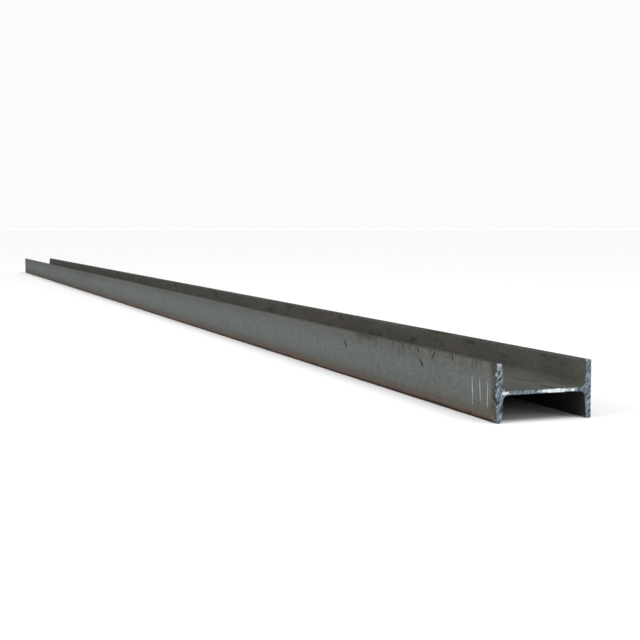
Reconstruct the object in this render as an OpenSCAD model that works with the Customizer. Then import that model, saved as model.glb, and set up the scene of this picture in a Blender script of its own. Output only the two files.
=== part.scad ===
// Hot-rolled steel I-beam with tapered flanges, lying on its flange toes
// with the web level. The length runs along Y and the depth along X. The
// origin is at the middle of the length, level with the lower toes.

/* [Section] */
// Depth of the section, over the outer faces of the flanges
depth = 160; // [120:1:220]
// Width of each flange, from toe to toe
flange_width = 88; // [70:1:120]
// Thickness of the web
web_thickness = 6; // [4:0.1:12]
// Flange thickness, taken half way between the web's face and the toe
flange_thickness = 9.9; // [8:0.1:15]
// Run along the inner flange face for each unit that the flange thins
taper_run = 12; // [5:0.5:20]

/* [Rounding] */
// Radius of the fillets between the web and the flanges
root_radius = 8; // [4:0.1:12]
// Radius on the inner edge of each toe
toe_radius = 4; // [1:0.1:6]

/* [Stock] */
// Length of the bar between its sawn ends
length = 6000; // [500:10:12000]

/* [Hidden] */

// Flats that make up each rounded corner
arc_steps = 12;
// Least share of the toe's wall that its rounding leaves flat
toe_flat_share = 0.1;
MILL_SCALE = [0.43, 0.43, 0.41];

half_depth = depth / 2;
half_width = flange_width / 2;
half_web = web_thickness / 2;

// The flange thins from the web's face to the toe, and has its stated
// thickness half way along that stretch.
half_leg = (half_width - half_web) / 2;
toe_thickness = flange_thickness - half_leg / taper_run;
root_thickness = flange_thickness + half_leg / taper_run;

// Both rounded corners lie between a level face and the tapered face, and
// end this far from the sharp corner for each unit of radius.
taper_angle = atan(1 / taper_run);
run_per_radius = 1 / tan((90 + taper_angle) / 2);
toe_round = min(toe_radius, (1 - toe_flat_share) * toe_thickness / run_per_radius);

// Centres of the two roundings in the +X +Y quarter
root_centre = [
    half_depth - root_thickness - root_radius * run_per_radius,
    half_web + root_radius
];
toe_centre = [
    half_depth - toe_thickness + toe_round * run_per_radius,
    half_width - toe_round
];

function arc(centre, radius, first, last) = [
    for (i = [0 : arc_steps])
        let (angle = first + (last - first) * i / arc_steps)
            centre + radius * [cos(angle), sin(angle)]
];

// The +X +Y quarter, from the web's face round the toe to the outer edge
quarter = concat(
    arc(root_centre, root_radius, -90, -taper_angle),
    arc(toe_centre, toe_round, 180 - taper_angle, 90),
    [[half_depth, half_width]]
);

// That quarter mirrored into another one, and its points the other way round
function into(across, up) = [for (p = quarter) [across * p[0], up * p[1]]];
function reversed(points) = [for (i = [len(points) - 1 : -1 : 0]) points[i]];

module section() {
    polygon(concat(
        into(1, 1),
        reversed(into(1, -1)),
        into(-1, -1),
        reversed(into(-1, 1))
    ));
}

module i_beam() {
    color(MILL_SCALE)
        translate([0, 0, half_width])
            rotate([90, 0, 0])
                linear_extrude(height = length, center = true)
                    section();
}

i_beam();
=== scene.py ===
"""Looks of the hot-rolled steel I-beam: one detailed mesh stands for the CAD
solid, with mill scale on the rolled faces and bright metal on the sawn ends."""

import math

import bpy
import numpy as np
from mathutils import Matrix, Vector, noise
from mathutils.geometry import delaunay_2d_cdt


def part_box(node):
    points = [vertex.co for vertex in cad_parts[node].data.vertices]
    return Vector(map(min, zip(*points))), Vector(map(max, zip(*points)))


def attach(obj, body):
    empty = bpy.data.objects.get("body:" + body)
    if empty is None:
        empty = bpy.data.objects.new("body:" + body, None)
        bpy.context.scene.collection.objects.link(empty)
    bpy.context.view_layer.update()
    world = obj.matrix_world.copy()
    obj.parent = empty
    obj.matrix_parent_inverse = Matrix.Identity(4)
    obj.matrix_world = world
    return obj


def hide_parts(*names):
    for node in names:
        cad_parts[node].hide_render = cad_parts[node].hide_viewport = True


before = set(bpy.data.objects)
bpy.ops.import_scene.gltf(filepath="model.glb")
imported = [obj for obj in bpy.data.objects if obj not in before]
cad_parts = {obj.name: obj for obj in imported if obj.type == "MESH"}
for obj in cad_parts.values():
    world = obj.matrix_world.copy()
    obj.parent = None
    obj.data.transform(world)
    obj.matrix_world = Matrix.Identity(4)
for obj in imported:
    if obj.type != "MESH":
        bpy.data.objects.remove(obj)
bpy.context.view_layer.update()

MM = 0.001

# The section, as the CAD source has it, and the small radius that rolling
# leaves on the outer edges
WEB = 6 * MM
FLANGE = 9.9 * MM
TAPER_RUN = 12
ROOT_RADIUS = 8 * MM
TOE_RADIUS = 4 * MM
EDGE_RADIUS = 0.9 * MM

# How finely the mesh follows the section, the length and the sawn ends
OUTLINE_PITCH = 1.2 * MM
LENGTH_PITCH = 80 * MM
END_STATIONS = [d * MM for d in (0, 0.7, 1.6, 2.8, 4.5, 7, 10.5, 15, 21, 29, 40, 55, 75, 100)]
END_ZONE = 120 * MM
CUT_PITCH = 1.1 * MM

# The sawn faces lie this far inside the stated length, so that the saw's
# ridges and burrs end at it
CUT_BACK = 0.9 * MM

# How fast the torn edge fades along the skin
TEAR_FADE = 1.6 * MM

# How steeply the saw's marks climb from left to right, in degrees
SAW_SLANT = 56

low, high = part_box("i_beam")
HALF_DEPTH = high.x
HALF_WIDTH = (high.z - low.z) / 2
HALF_LENGTH = high.y
HEIGHT = high.z - low.z

OUTER, INNER, SAWN = range(3)


# ---------------------------------------------------------------- section

def arc(centre, radius, first, last, steps):
    """Points of an arc between two angles in degrees."""
    angles = np.radians(np.linspace(first, last, steps + 1))
    return [(centre[0] + radius * math.cos(a), centre[1] + radius * math.sin(a)) for a in angles]


def quarter():
    """The upper right quarter, from the web's middle round the toe to the
    middle of the outer face, about the section's centre."""
    half_web = WEB / 2
    half_leg = (HALF_WIDTH - half_web) / 2
    toe_x = HALF_DEPTH - (FLANGE - half_leg / TAPER_RUN)
    root_x = HALF_DEPTH - (FLANGE + half_leg / TAPER_RUN)
    taper = math.degrees(math.atan(1 / TAPER_RUN))
    run = 1 / math.tan(math.radians((90 + taper) / 2))
    root = (root_x - ROOT_RADIUS * run, half_web + ROOT_RADIUS)
    toe = (toe_x + TOE_RADIUS * run, HALF_WIDTH - TOE_RADIUS)
    edge = (HALF_DEPTH - EDGE_RADIUS, HALF_WIDTH - EDGE_RADIUS)
    return [
        (0, half_web),
        *arc(root, ROOT_RADIUS, -90, -taper, 8),
        *arc(toe, TOE_RADIUS, 180 - taper, 90, 5),
        *arc(edge, EDGE_RADIUS, 90, 0, 3),
        (HALF_DEPTH, 0),
    ]


def outline():
    """The whole section, anticlockwise from the middle of the web's underside,
    with its straight runs cut to OUTLINE_PITCH."""
    def into(across, up):
        return [(across * x, up * z) for x, z in quarter()]

    corners = [
        *into(1, -1)[:-1],
        *reversed(into(1, 1)[1:]),
        *into(-1, 1)[:-1],
        *reversed(into(-1, -1)[1:]),
    ]
    points = []
    for start, end in zip(corners, corners[1:] + corners[:1]):
        parts = max(1, round(math.dist(start, end) / OUTLINE_PITCH))
        points += [np.add(start, np.subtract(end, start) * i / parts) for i in range(parts)]
    return np.array(points)


def outward(points):
    """Unit normals of a closed anticlockwise outline."""
    along = np.roll(points, -1, axis=0) - np.roll(points, 1, axis=0)
    along /= np.linalg.norm(along, axis=1)[:, None]
    return np.column_stack([along[:, 1], -along[:, 0]])


def zone(x, z):
    """Which finish a place on the rolled skin has."""
    on_toe = abs(z) > HALF_WIDTH - TOE_RADIUS
    on_face = abs(x) > HALF_DEPTH - 1.5 * EDGE_RADIUS
    return OUTER if on_toe or on_face else INNER


# ----------------------------------------------------------------- relief

def grain(*place, seed=0.0):
    """Smooth noise between -1 and 1."""
    return noise.noise(Vector(place) + Vector((seed, seed * 1.7, seed * 2.3)))


def rolled_relief(x, y, z):
    """How far the rolled skin lies under its nominal face."""
    wave = 0.5 + 0.5 * grain(x * 9, y * 1.4, z * 9)
    chatter = 0.5 + 0.5 * grain(x * 30, y * 4, z * 30, seed=5)
    return (0.16 * wave + 0.07 * chatter) * MM


def torn_edge(x, z, seed):
    """How far the saw pushed the outline out, or tore it in where negative:
    most on the outer faces and toes."""
    burr = grain(x * 150, z * 150, 0, seed=seed)
    nick = grain(x * 210, z * 210, 6, seed=seed)
    fine = grain(x * 520, z * 520, 3, seed=seed)
    torn = 1.9 * max(0.0, burr - 0.08) - 2.6 * max(0.0, nick - 0.16) + 0.4 * fine - 0.15
    return torn * MM * (1.0 if zone(x, z) == OUTER else 0.45)


def saw_relief(x, z, seed):
    """Depth of the sawn face under its highest ridge."""
    slant = math.radians(SAW_SLANT)
    across = -x * math.sin(slant) + z * math.cos(slant)
    along = x * math.cos(slant) + z * math.sin(slant)
    wander = grain(across * 60, along * 22, 0, seed=seed)
    ridges = math.sin(across * 2 * math.pi / (6.5 * MM) + 2.5 * wander)
    swell = grain(across * 40, along * 12, 1, seed=seed + 3)
    return (0.32 + 0.08 * ridges + 0.22 * swell) * MM


# ------------------------------------------------------------------- mesh

def stations():
    """Places along the length where the skin has a ring of points."""
    middle = HALF_LENGTH - END_ZONE
    count = round(2 * middle / LENGTH_PITCH)
    ends = [HALF_LENGTH - CUT_BACK - d for d in END_STATIONS]
    return [-e for e in ends] + list(np.linspace(-middle, middle, count + 1)) + ends[::-1]


def inside(points, loop):
    """Which points lie inside a closed outline."""
    found = np.zeros(len(points), bool)
    for (x0, z0), (x1, z1) in zip(loop, np.roll(loop, -1, axis=0)):
        if z0 == z1:
            continue
        spans = (z0 > points[:, 1]) != (z1 > points[:, 1])
        crossing = x0 + (points[:, 1] - z0) * (x1 - x0) / (z1 - z0)
        found ^= spans & (points[:, 0] < crossing)
    return found


def cut_points(loop):
    """Points spread over the sawn face, clear of its outline."""
    xs = np.arange(-HALF_DEPTH, HALF_DEPTH, CUT_PITCH)
    zs = np.arange(-HALF_WIDTH, HALF_WIDTH, CUT_PITCH)
    grid = np.array([(x + (i % 2) * CUT_PITCH / 2, z) for i, z in enumerate(zs) for x in xs])
    grid = grid[inside(grid, loop)]
    gap = np.array([np.hypot(*(loop - p).T).min() for p in grid])
    return grid[gap > 0.7 * CUT_PITCH]


def skin_points(ring, rows):
    """A ring of points at each station. The outermost rings lie on the sawn
    faces, and the torn edge fades away from them."""
    normals = outward(ring)
    points = []
    for y in rows:
        end = math.copysign(1, y)
        depth_in = HALF_LENGTH - CUT_BACK - abs(y)
        on_cut = depth_in < 0.1 * MM
        tear = math.exp(-depth_in / TEAR_FADE)
        for (x, z), (nx, nz) in zip(ring, normals):
            out = -rolled_relief(x, y, z)
            if tear > 0.01:
                out += tear * torn_edge(x, z, seed=11 + 7 * end)
            sunk = saw_relief(x, z, 3 + end) if on_cut else 0.0
            points.append((x + nx * out, y - end * sunk, z + nz * out))
    return points


def beam_mesh():
    """One closed mesh: the rolled skin from end to end, and a sawn face on
    each end. The bake's map comes with it."""
    ring = outline()
    rows = stations()
    around = len(ring)
    verts = skin_points(ring, rows)
    faces, finish, maps = [], [], []
    perimeter = np.append(0, np.cumsum(np.hypot(*(np.roll(ring, -1, axis=0) - ring).T)))
    for i in range(len(rows) - 1):
        for j in range(around):
            k = (j + 1) % around
            faces.append((i * around + k, i * around + j, (i + 1) * around + j, (i + 1) * around + k))
            finish.append(zone(*(ring[j] + ring[k]) / 2))
            maps.append(skin_map(rows[i], rows[i + 1], perimeter[j], perimeter[j + 1]))

    for end, row in ((-1, 0), (1, len(rows) - 1)):
        add_cut(end, row * around, ring, verts, faces, finish, maps)

    limit = np.array([HALF_DEPTH, HALF_LENGTH, HALF_WIDTH])
    placed = np.clip(np.array(verts), -limit, limit) + [0, 0, low.z + HALF_WIDTH]
    mesh = bpy.data.meshes.new("rolled_beam")
    mesh.from_pydata(placed.tolist(), [], faces)
    mesh.polygons.foreach_set("material_index", finish)
    mesh.polygons.foreach_set("use_smooth", [True] * len(faces))
    layer = mesh.uv_layers.new(name="OFBake")
    layer.data.foreach_set("uv", [c for face in maps for uv in face for c in uv])
    mark_sharp(mesh)
    mesh.validate()
    return mesh


def add_cut(end, first, ring, verts, faces, finish, maps):
    """Fills one end of the skin with a sawn face on the ring's own points."""
    rim = np.array([verts[first + j] for j in range(len(ring))])[:, [0, 2]]
    inner = cut_points(rim)
    flat = [Vector(p) for p in np.vstack([rim, inner])]
    edges = [(j, (j + 1) % len(rim)) for j in range(len(rim))]
    _, _, triangles, origin, _, _ = delaunay_2d_cdt(flat, edges, [], 1, 1e-7)
    start = len(verts)
    for x, z in inner:
        y = HALF_LENGTH - CUT_BACK - saw_relief(x, z, 3 + end)
        verts.append((x, end * y, z))
    for triangle in triangles:
        which = [origin[v][0] for v in triangle]
        if end > 0:
            which.reverse()
        faces.append(tuple(first + w if w < len(rim) else start + w - len(rim) for w in which))
        finish.append(SAWN)
        maps.append([cut_map(end, *flat[w]) for w in which])


def mark_sharp(mesh):
    """The rim of each sawn face is a hard edge."""
    kinds = {}
    for face in mesh.polygons:
        for key in face.edge_keys:
            kinds.setdefault(key, set()).add(face.material_index == SAWN)
    for edge in mesh.edges:
        edge.use_edge_sharp = len(kinds[edge.key]) > 1


# --------------------------------------------------------- map for the bake

# The skin is unrolled in three lengths side by side, and the sawn faces stand
# beside them, larger than the skin. Scales are shares of the square map for
# each metre, and the rest are shares of the map.
SKIN_LENGTHS = 3
SKIN_SCALE = 1 / 2.26
SKIN_BOTTOM = 0.03
CUT_SCALE = 1 / 0.64
MARGIN = 0.004


def skin_map(y0, y1, s0, s1):
    """Map places of one skin face, from its stations and perimeter marks."""
    span = 2 * HALF_LENGTH / SKIN_LENGTHS
    column = min(SKIN_LENGTHS - 1, int(((y0 + y1) / 2 + HALF_LENGTH) / span))
    right = (column + 1) * (SKIN_WIDTH + MARGIN)
    bottom = SKIN_BOTTOM - (column * span - HALF_LENGTH) * SKIN_SCALE
    u0, u1 = right - s0 * SKIN_SCALE, right - s1 * SKIN_SCALE
    v0, v1 = bottom + y0 * SKIN_SCALE, bottom + y1 * SKIN_SCALE
    return [(u1, v0), (u0, v0), (u0, v1), (u1, v1)]


def cut_map(end, x, z):
    """Map place of a point on a sawn face, which stands upright on the map."""
    across = 1 - MARGIN - HALF_WIDTH * CUT_SCALE
    up = 0.25 if end < 0 else 0.75
    return across + end * z * CUT_SCALE, up + x * CUT_SCALE


def perimeter_length():
    """Length of the section's outline."""
    ring = outline()
    return float(np.hypot(*(np.roll(ring, -1, axis=0) - ring).T).sum())


SKIN_WIDTH = perimeter_length() * SKIN_SCALE


# -------------------------------------------------------------- materials

class Finish:
    """A material with one short call for each kind of node it needs."""

    def __init__(self, name, metallic, specular=0.5):
        self.material = bpy.data.materials.new(name)
        self.material.use_nodes = True
        self.tree = self.material.node_tree
        self.shader = self.tree.nodes["Principled BSDF"]
        self.shader.inputs["Metallic"].default_value = metallic
        self.shader.inputs["Specular IOR Level"].default_value = specular
        self.place = self.node("TexCoord").outputs["Object"]
        split = self.node("SeparateXYZ", Vector=self.place)
        self.x, self.y, self.z = split.outputs

    def node(self, kind, settings=(), **inputs):
        """Adds a node with these settings, and values or links at its inputs."""
        made = self.tree.nodes.new("ShaderNode" + kind)
        for name, value in dict(settings).items():
            setattr(made, name, value)
        for name, value in inputs.items():
            self.feed(made.inputs[name], value)
        return made

    def feed(self, socket, value):
        """Links an output to a socket, or sets the socket's own value."""
        if isinstance(value, bpy.types.NodeSocket):
            self.tree.links.new(value, socket)
        else:
            socket.default_value = value

    def math(self, operation, *values):
        """The result of one operation on numbers or outputs."""
        made = self.node("Math", {"operation": operation})
        for socket, value in zip(made.inputs, values):
            self.feed(socket, value)
        return made.outputs[0]

    def times(self, *values):
        """The product of several numbers or outputs."""
        product = values[0]
        for value in values[1:]:
            product = self.math("MULTIPLY", product, value)
        return product

    def step(self, value, start, end):
        """Rises smoothly from 0 at start to 1 at end, or falls if end is lower."""
        made = self.node("MapRange", {"interpolation_type": "SMOOTHSTEP"}, Value=value)
        made.inputs["From Min"].default_value = min(start, end)
        made.inputs["From Max"].default_value = max(start, end)
        made.inputs["To Min"].default_value = 0.0 if start < end else 1.0
        made.inputs["To Max"].default_value = 1.0 if start < end else 0.0
        return made.outputs["Result"]

    def bell(self, value, middle, reach):
        """1 at middle, falling smoothly to 0 at reach on either side."""
        off = self.math("ABSOLUTE", self.math("SUBTRACT", value, middle))
        return self.step(off, reach, 0)

    def noise(self, per_metre, detail=3.0, rough=0.55, lean=0, shift=(0, 0, 0)):
        """Noise with that many features in a metre along each axis. X and Z are
        first turned about Y by lean degrees."""
        place = self.place
        if lean:
            turned = self.node("VectorRotate", {"rotation_type": "Y_AXIS"}, Vector=place)
            turned.inputs["Angle"].default_value = math.radians(lean)
            place = turned.outputs[0]
        scaled = self.node(
            "Mapping", {"vector_type": "POINT"}, Vector=place, Scale=per_metre, Location=shift,
        )
        made = self.node(
            "TexNoise", Vector=scaled.outputs[0], Scale=1.0, Detail=detail, Roughness=rough,
        )
        return made.outputs[0]

    def mix(self, factor, first, second, blend="MIX"):
        """The first colour blended into the second by a factor."""
        made = self.node("Mix", {"data_type": "RGBA", "blend_type": blend})
        self.feed(made.inputs[0], factor)
        self.feed(made.inputs[6], first)
        self.feed(made.inputs[7], second)
        return made.outputs[2]

    def shade(self, colour, amount, value):
        """Multiplies a colour by 1 + amount * (2 * value - 1)."""
        swing = self.math("MULTIPLY_ADD", value, 2 * amount, 1 - amount)
        grey = self.node("CombineColor", Red=swing, Green=swing, Blue=swing)
        return self.mix(1.0, colour, grey.outputs[0], "MULTIPLY")

    def marks(self, shapes, rough):
        """Long thin marks on a side face: each is a side (-1 or 1), how far it
        is along Y and up Z, its length and width, and its lean in degrees."""
        jitter = self.node("VectorMath", {"operation": "SCALE"}, Vector=self.noise_vector(160), Scale=rough)
        place = self.node("VectorMath", {"operation": "ADD"})
        self.feed(place.inputs[0], self.place)
        self.feed(place.inputs[1], jitter.outputs[0])
        found = 0.0
        for side, y, z, long, wide, lean in shapes:
            local = self.node(
                "Mapping", {"vector_type": "TEXTURE"}, Vector=place.outputs[0],
                Location=(side * HALF_DEPTH, y, z), Rotation=(math.radians(lean), 0, 0),
                Scale=(6 * MM, long / 2, wide / 2),
            )
            size = self.node("VectorMath", {"operation": "LENGTH"}, Vector=local.outputs[0])
            one = self.step(size.outputs["Value"], 1.0, 0.55)
            found = self.math("MAXIMUM", found, one)
        return found

    def noise_vector(self, per_metre):
        """Colour noise about zero, to push coordinates by."""
        made = self.node("TexNoise", Vector=self.place, Scale=per_metre, Detail=2.0)
        centred = self.node("VectorMath", {"operation": "SUBTRACT"}, Vector=made.outputs["Color"])
        centred.inputs[1].default_value = (0.5, 0.5, 0.5)
        return centred.outputs[0]

    def finish(self, colour, roughness, relief, depth):
        """Joins colour, roughness and relief, a height in shares of depth."""
        bump = self.node("Bump", Height=relief, Distance=depth, Strength=1.0)
        self.feed(self.shader.inputs["Base Color"], colour)
        self.feed(self.shader.inputs["Roughness"], roughness)
        self.feed(self.shader.inputs["Normal"], bump.outputs[0])
        return self.material


def grey(red, green, blue):
    """A linear colour from its 0-255 screen values."""
    return (*(((c / 255 + 0.055) / 1.055) ** 2.4 for c in (red, green, blue)), 1.0)


# Dark scratches and smudges on the outer faces
NEAR = -HALF_LENGTH
SCRATCHES = [
    (-1, NEAR + 0.254, 62 * MM, 25 * MM, 5.6 * MM, 42),
    (-1, NEAR + 0.210, 78 * MM, 25 * MM, 4.4 * MM, -49),
    (-1, NEAR + 0.590, 62 * MM, 24 * MM, 6.6 * MM, 39),
    (-1, NEAR + 0.142, 82 * MM, 15 * MM, 3.8 * MM, 62),
    (-1, NEAR + 0.265, 82 * MM, 13 * MM, 3.8 * MM, 55),
    (-1, NEAR + 0.082, 5 * MM, 9 * MM, 4.0 * MM, 10),
    (-1, NEAR + 2.150, 58 * MM, 26 * MM, 4.6 * MM, -36),
    (-1, NEAR + 3.300, 34 * MM, 24 * MM, 4.6 * MM, 24),
    (1, NEAR + 0.240, 48 * MM, 26 * MM, 4.4 * MM, 48),
    (1, NEAR + 0.860, 30 * MM, 20 * MM, 4.0 * MM, -64),
    (1, NEAR + 1.900, 60 * MM, 30 * MM, 4.6 * MM, 26),
    (1, NEAR + 3.420, 44 * MM, 26 * MM, 4.6 * MM, -48),
    (1, NEAR + 5.100, 56 * MM, 28 * MM, 4.4 * MM, 55),
]

# Plain chalk strokes beside the near end
CHALK = [
    (-1, NEAR + 0.076, 41 * MM, 56 * MM, 2.5 * MM, 86),
    (-1, NEAR + 0.052, 43 * MM, 44 * MM, 2.2 * MM, 83),
    (-1, NEAR + 0.029, 40 * MM, 50 * MM, 2.4 * MM, 91),
]


def outer_scale():
    """Grey mill scale on the flanges' outer faces and toes, with a painted sheen band along their middle
    height.
    """
    f = Finish("outer_mill_scale", metallic=0.0, specular=0.06)
    cloud = f.noise((5, 2.4, 16), detail=4)
    rolling = f.noise((20, 1.1, 70), detail=3)
    mottle = f.noise((190, 75, 190), detail=4, rough=0.65)
    speckle = f.noise((420, 300, 420), detail=4, rough=0.7)
    combed = f.noise((2, 260, 15), detail=3, rough=0.6, shift=(0, 3, 6))
    patch = f.noise((3, 2.2, 3), detail=2, shift=(4, 9, 2))

    # The lighter blue-grey band along the middle height is a painted sheen: a painted reflection of the sky
    # on the outer face.
    painted_sheen_band = f.times(f.step(f.z, 8 * MM, 42 * MM), f.step(f.z, 82 * MM, 56 * MM))
    colour = f.mix(painted_sheen_band, grey(89, 91, 88), grey(94, 99, 97))
    colour = f.mix(f.times(f.step(cloud, 0.45, 0.75), 0.6), colour, grey(96, 97, 91))
    colour = f.shade(colour, 0.07, rolling)
    colour = f.shade(colour, 0.46, mottle)
    colour = f.shade(colour, 0.38, speckle)
    colour = f.shade(colour, 0.20, combed)

    hanging = f.math("MULTIPLY_ADD", f.noise((0, 45, 0), detail=2, shift=(0, 5, 0)), 44 * MM, -22 * MM)
    colour = upper_hairs(f, colour, hanging, patch)
    colour = low_rust(f, colour, patch)
    colour = upper_stains(f, colour, hanging)
    colour = beside_cut(f, colour, speckle)
    colour = drawn_marks(f, colour)

    roughness = f.math("MULTIPLY_ADD", cloud, 0.22, 0.52)
    relief = f.math("ADD", f.times(speckle, 0.6), f.times(mottle, 0.4))
    return f.finish(colour, roughness, relief, 0.16 * MM)


def upper_hairs(f, colour, hanging, patch):
    """Dark hairs that hang from the upper edge, by an uneven amount."""
    hair = f.step(f.noise((2, 130, 9), detail=3, rough=0.6), 0.46, 0.57)
    reach = f.step(f.math("ADD", f.z, hanging), 62 * MM, 86 * MM)
    where = f.math("MAXIMUM", f.step(patch, 0.40, 0.62), f.bell(f.y, NEAR + 0.33, 0.30))
    return f.mix(f.times(reach, hair, where, 0.60), colour, grey(52, 51, 45))


def low_rust(f, colour, patch):
    """Rust above the lower edge, deeper away from the near end, with a thin
    line over it and a dark rim."""
    worn = f.noise((40, 9, 40), detail=4, shift=(1, 2, 3))
    height = f.math("ADD", f.z, f.math("MULTIPLY_ADD", worn, 7 * MM, -3.5 * MM))
    warm = f.step(height, 26 * MM, 7 * MM)
    deeper = f.math("MULTIPLY_ADD", f.step(f.y, NEAR + 0.35, NEAR + 0.85), 0.38, 0.5)
    colour = f.mix(f.times(warm, deeper), colour, grey(88, 79, 70))
    rust = f.times(f.step(height, 11 * MM, 6 * MM), f.step(worn, 0.10, 0.45))
    colour = f.mix(f.times(rust, 0.80), colour, grey(92, 74, 66))
    line = f.times(f.bell(f.z, 14 * MM, 2.5 * MM), f.step(patch, 0.42, 0.6))
    colour = f.mix(f.times(line, 0.5), colour, grey(92, 74, 64))
    rim = f.step(height, 5.4 * MM, 3 * MM)
    return f.mix(f.times(rim, 0.9), colour, grey(46, 34, 28))


def upper_stains(f, colour, hanging):
    """Brown stains under the upper edge, and painted shade along the upper edge itself."""
    spot = f.noise((6, 3.2, 22), detail=4, rough=0.65, shift=(7, 1, 5))
    where = f.math("MAXIMUM", f.step(spot, 0.70, 0.78), f.bell(f.y, NEAR + 0.488, 0.075))
    stain = f.times(where, f.step(f.math("MULTIPLY_ADD", hanging, 0.4, f.z), 77 * MM, 85 * MM))
    colour = f.mix(f.times(stain, 0.9), colour, grey(66, 55, 40))
    # The upper edge is darkened by painted shade, so that the overhead light leaves no pale line along the
    # toes.
    rim = f.step(f.z, HEIGHT - 2.5 * MM, HEIGHT)
    return f.mix(f.times(rim, 0.7), colour, grey(58, 54, 48))


def beside_cut(f, colour, speckle):
    """A burnt strip beside the cut, with dark spots, pale flecks low down and
    bare metal where the edge is torn."""
    from_end = f.math("SUBTRACT", HALF_LENGTH, f.math("ABSOLUTE", f.y))
    burnt = f.step(from_end, 24 * MM, 8 * MM)
    colour = f.mix(f.times(burnt, 0.62), colour, grey(76, 69, 62))
    spots = f.step(f.noise((190, 130, 150), detail=4, rough=0.7), 0.45, 0.55)
    heavy = f.math("MAXIMUM", f.bell(f.z, 38 * MM, 36 * MM), 0.6)
    colour = f.mix(f.times(burnt, spots, heavy, 0.95), colour, grey(42, 34, 29))
    flecks = f.step(f.noise((230, 170, 230), detail=3, rough=0.7, shift=(8, 4, 1)), 0.54, 0.62)
    flecks = f.times(flecks, burnt, f.step(f.z, 40 * MM, 12 * MM))
    colour = f.mix(f.times(flecks, 0.6), colour, grey(150, 142, 130))
    torn = f.noise((170, 20, 170), detail=3, rough=0.6, shift=(2, 0, 9))
    reach = f.math("MULTIPLY_ADD", torn, 34 * MM, -16 * MM)
    reach = f.times(reach, f.step(f.z, -20 * MM, 60 * MM))
    bare = f.step(f.math("SUBTRACT", from_end, reach), 1.2 * MM, 0.2 * MM)
    return f.mix(f.times(bare, 0.9), colour, f.mix(speckle, grey(98, 112, 124), grey(205, 212, 218)))


def drawn_marks(f, colour):
    """The dark scratches, and the chalk strokes over them."""
    colour = f.mix(f.marks(SCRATCHES, 0.0016), colour, grey(24, 24, 22))
    powder = f.step(f.noise((900, 900, 900), detail=2), 0.32, 0.52)
    chalk = f.times(f.marks(CHALK, 0.0022), powder, 0.8)
    return f.mix(chalk, colour, grey(196, 198, 192))


def inner_scale():
    """Darker, mottled scale on the web and the flanges' inner faces, with painted shade below the web."""
    f = Finish("inner_mill_scale", metallic=0.0, specular=0.10)
    cloud = f.noise((14, 4, 14), detail=4)
    rolling = f.noise((150, 2.2, 90), detail=4)
    mottle = f.noise((170, 60, 170), detail=4, rough=0.65, shift=(6, 2, 4))
    speckle = f.noise((360, 260, 360), detail=4, rough=0.7)
    patches = f.noise((30, 9, 30), detail=5, rough=0.65, shift=(3, 5, 8))

    colour = f.mix(f.step(cloud, 0.35, 0.7), grey(78, 79, 74), grey(92, 91, 84))
    # Below the web the colour is darkened by painted shade, as the lower channel gets little light.
    painted_shade_below_web = f.step(f.z, HALF_WIDTH, HALF_WIDTH - WEB)
    colour = f.mix(f.times(painted_shade_below_web, 0.85), colour, grey(32, 33, 31))
    colour = f.shade(colour, 0.16, rolling)
    colour = f.shade(colour, 0.34, mottle)
    colour = f.shade(colour, 0.38, speckle)
    colour = f.mix(f.times(f.step(patches, 0.52, 0.66), 0.6), colour, grey(42, 44, 44))
    flecks = f.step(f.noise((500, 200, 500), detail=3, rough=0.7), 0.64, 0.72)
    colour = f.mix(f.times(flecks, 0.35), colour, grey(140, 138, 128))

    beside_web = f.step(f.math("ABSOLUTE", f.x), 54 * MM, 66 * MM)
    dust = f.times(f.step(f.noise((20, 6, 20), detail=4, shift=(2, 8, 1)), 0.42, 0.68), beside_web)
    dust = f.times(dust, f.step(f.z, HALF_WIDTH, HALF_WIDTH + WEB))
    colour = f.mix(f.times(dust, 0.32), colour, grey(92, 78, 66))
    from_end = f.math("SUBTRACT", HALF_LENGTH, f.math("ABSOLUTE", f.y))
    spots = f.step(f.noise((240, 240, 240), detail=3, rough=0.7), 0.48, 0.62)
    colour = f.mix(f.times(f.step(from_end, 18 * MM, 2 * MM), spots, 0.55), colour, grey(74, 58, 46))

    roughness = f.math("MULTIPLY_ADD", cloud, 0.2, 0.56)
    relief = f.math("ADD", f.times(speckle, 0.6), f.times(patches, 0.4))
    return f.finish(colour, roughness, relief, 0.15 * MM)


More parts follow.
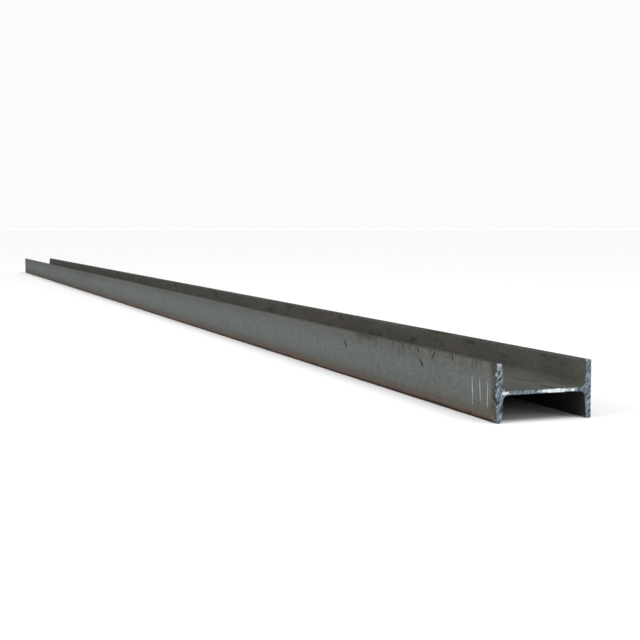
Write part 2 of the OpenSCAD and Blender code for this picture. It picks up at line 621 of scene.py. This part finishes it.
def sawn_steel():
    """Blue-grey cut metal with slanting saw marks, and painted highlights in places."""
    f = Finish("sawn_steel", metallic=1.0)
    lean = SAW_SLANT - 90
    streaks = f.noise((330, 10, 70), detail=5, rough=0.75, lean=lean)
    coarse = f.noise((150, 10, 60), detail=3, rough=0.6, lean=lean, shift=(3, 0, 7))
    patches = f.noise((90, 10, 60), detail=4, rough=0.7, shift=(9, 0, 4))
    pits = f.step(f.noise((330, 10, 330), detail=3, rough=0.75), 0.54, 0.62)

    # Painted highlights, bright glints, lie on the web past its middle and beside the left root, on the
    # left flange at its upper tip and in lumps along its rim, and in random patches over the face.
    on_web = f.bell(f.z, HALF_WIDTH, 7 * MM)
    middle = f.times(on_web, f.bell(f.x, 22 * MM, 56 * MM), 0.44)
    root = f.times(on_web, f.bell(f.x, -66 * MM, 14 * MM), 0.36)
    rim = f.step(f.math("ABSOLUTE", f.x), HALF_DEPTH - 5 * MM, HALF_DEPTH - 1 * MM)
    lumps = f.step(f.noise((190, 10, 190), detail=2, shift=(5, 0, 2)), 0.50, 0.62)
    rim = f.times(rim, lumps, f.step(f.z, 30 * MM, 60 * MM), f.step(f.x, 90 * MM, 10 * MM), 0.30)
    tip = f.times(f.step(f.z, HEIGHT - 10 * MM, HEIGHT - 2 * MM), f.step(f.x, -68 * MM, -74 * MM), 0.34)
    glint_places = f.math("MAXIMUM", f.math("MAXIMUM", middle, root), f.math("MAXIMUM", rim, tip))
    painted_glint = f.step(f.math("MULTIPLY_ADD", patches, 0.7, glint_places), 0.54, 0.72)

    cut = f.mix(f.step(streaks, 0.38, 0.62), grey(42, 50, 58), grey(143, 159, 170))
    # Painted highlight: the glint places turn near white.
    colour = f.mix(painted_glint, cut, grey(232, 237, 242))
    colour = f.shade(colour, 0.45, streaks)
    colour = f.shade(colour, 0.62, coarse)
    colour = f.mix(f.times(pits, 0.6), colour, grey(34, 40, 48))
    roughness = f.math("MULTIPLY_ADD", patches, -0.3, 0.58)
    relief = f.math("ADD", f.times(streaks, 0.55), f.times(coarse, 0.45))
    return f.finish(colour, roughness, relief, 0.4 * MM)


# ------------------------------------------------------------------- beam

beam = bpy.data.objects.new("rolled_beam", beam_mesh())
bpy.context.scene.collection.objects.link(beam)
for material in (outer_scale(), inner_scale(), sawn_steel()):
    beam.data.materials.append(material)
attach(beam, "root")
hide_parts("i_beam")


# ------------------------------------------------------------------ stage

# The floor and the wall round it, far enough out that the line between them
# hardly shows, and near enough for a camera that sees 100 times the beam's
# half length.
# Above WALL_TOP the wall only hides the dimmer sky from the camera.
STAGE_RADIUS = 250.0
STAGE_SIDES = 96
WALL_TOP = 75.0
UPPER_WALL_TOP = 300.0


def stage_rim(z):
    """Points round the edge of the stage at one height."""
    turns = np.linspace(0, 2 * math.pi, STAGE_SIDES, endpoint=False)
    return [(STAGE_RADIUS * math.cos(t), STAGE_RADIUS * math.sin(t), z) for t in turns]


def studio_floor():
    """A pale round floor that reaches the horizon."""
    verts = stage_rim(-0.1 * MM)
    mesh = bpy.data.meshes.new("studio_floor")
    mesh.from_pydata(verts, [], [tuple(range(STAGE_SIDES))])
    floor = bpy.data.objects.new("studio_floor", mesh)
    bpy.context.scene.collection.objects.link(floor)
    paint = bpy.data.materials.new("pale_floor")
    paint.use_nodes = True
    shader = paint.node_tree.nodes["Principled BSDF"]
    shader.inputs["Base Color"].default_value = (0.98, 0.98, 0.98, 1)
    shader.inputs["Roughness"].default_value = 1.0
    shader.inputs["Specular IOR Level"].default_value = 0.0
    mesh.materials.append(paint)


def backdrop(name, bottom, top):
    """A white wall round the floor's rim, so that no horizon shows."""
    verts = stage_rim(bottom) + stage_rim(top)
    after = [(i + 1) % STAGE_SIDES for i in range(STAGE_SIDES)]
    faces = [(i, j, STAGE_SIDES + j, STAGE_SIDES + i) for i, j in enumerate(after)]
    mesh = bpy.data.meshes.new(name)
    mesh.from_pydata(verts, [], faces)
    wall = bpy.data.objects.new(name, mesh)
    bpy.context.scene.collection.objects.link(wall)
    glow = bpy.data.materials.new(name)
    glow.use_nodes = True
    shader = glow.node_tree.nodes["Principled BSDF"]
    shader.inputs["Base Color"].default_value = (0, 0, 0, 1)
    shader.inputs["Specular IOR Level"].default_value = 0.0
    shader.inputs["Emission Color"].default_value = (1, 1, 1, 1)
    shader.inputs["Emission Strength"].default_value = 0.965
    mesh.materials.append(glow)
    return wall


def softbox(name, place, target, size, power):
    """A rectangular lamp of that size in metres, turned to its target."""
    light = bpy.data.lights.new(name, "AREA")
    light.shape = "RECTANGLE"
    light.size, light.size_y = size
    light.energy = power
    aim(name, light, place, target)


def aim(name, light, place, target):
    """Stands a light at a place and turns it to its target."""
    lamp = bpy.data.objects.new(name, light)
    lamp.location = place
    lamp.rotation_euler = (Vector(target) - Vector(place)).to_track_quat("-Z", "Y").to_euler()
    lamp.visible_camera = False
    bpy.context.scene.collection.objects.link(lamp)


def studio_lights():
    """A dim even sky, a broad light overhead and a fill beside the near half."""
    world = bpy.data.worlds.new("studio")
    world.use_nodes = True
    back = world.node_tree.nodes["Background"]
    back.inputs["Color"].default_value = (0.97, 0.985, 1.0, 1)
    back.inputs["Strength"].default_value = 0.36
    bpy.context.scene.world = world
    overhead = bpy.data.lights.new("overhead", "SUN")
    overhead.energy = 1.85
    overhead.angle = math.radians(50)
    aim("overhead", overhead, (0.8, -2.2, 8), (0, 0, 0))
    near_end = (0, -HALF_LENGTH, HALF_WIDTH)
    softbox("end_key", (2.8, -7.5, 2.4), near_end, (2.4, 2.0), 30)
    softbox("side_fill", (-4.5, -3.2, 2.4), (0, -HALF_LENGTH / 2, 0), (4, 2.5), 90)


def camera():
    """Stands low in front of the near end and to its left, and looks along
    the beam."""
    lens = bpy.data.cameras.new("camera")
    lens.sensor_width = 36
    lens.lens = 65
    lens.clip_start, lens.clip_end = 0.05, 3 * STAGE_RADIUS
    eye = bpy.data.objects.new("camera", lens)
    in_front, to_the_left, above = 1.463, 0.824, 0.285
    eye.location = (-HALF_DEPTH - to_the_left, -HALF_LENGTH - in_front, above)
    turned_right, tipped_down = 20.6, 4.6
    eye.rotation_euler = (math.radians(90 - tipped_down), 0, -math.radians(turned_right))
    bpy.context.scene.collection.objects.link(eye)
    bpy.context.scene.camera = eye


studio_floor()
backdrop("backdrop", -1.0, WALL_TOP)
upper_wall = backdrop("upper_backdrop", WALL_TOP, UPPER_WALL_TOP)
upper_wall.visible_diffuse = False
upper_wall.visible_glossy = False
upper_wall.visible_shadow = False
studio_lights()
camera()
bpy.context.scene.view_settings.view_transform = "Standard"
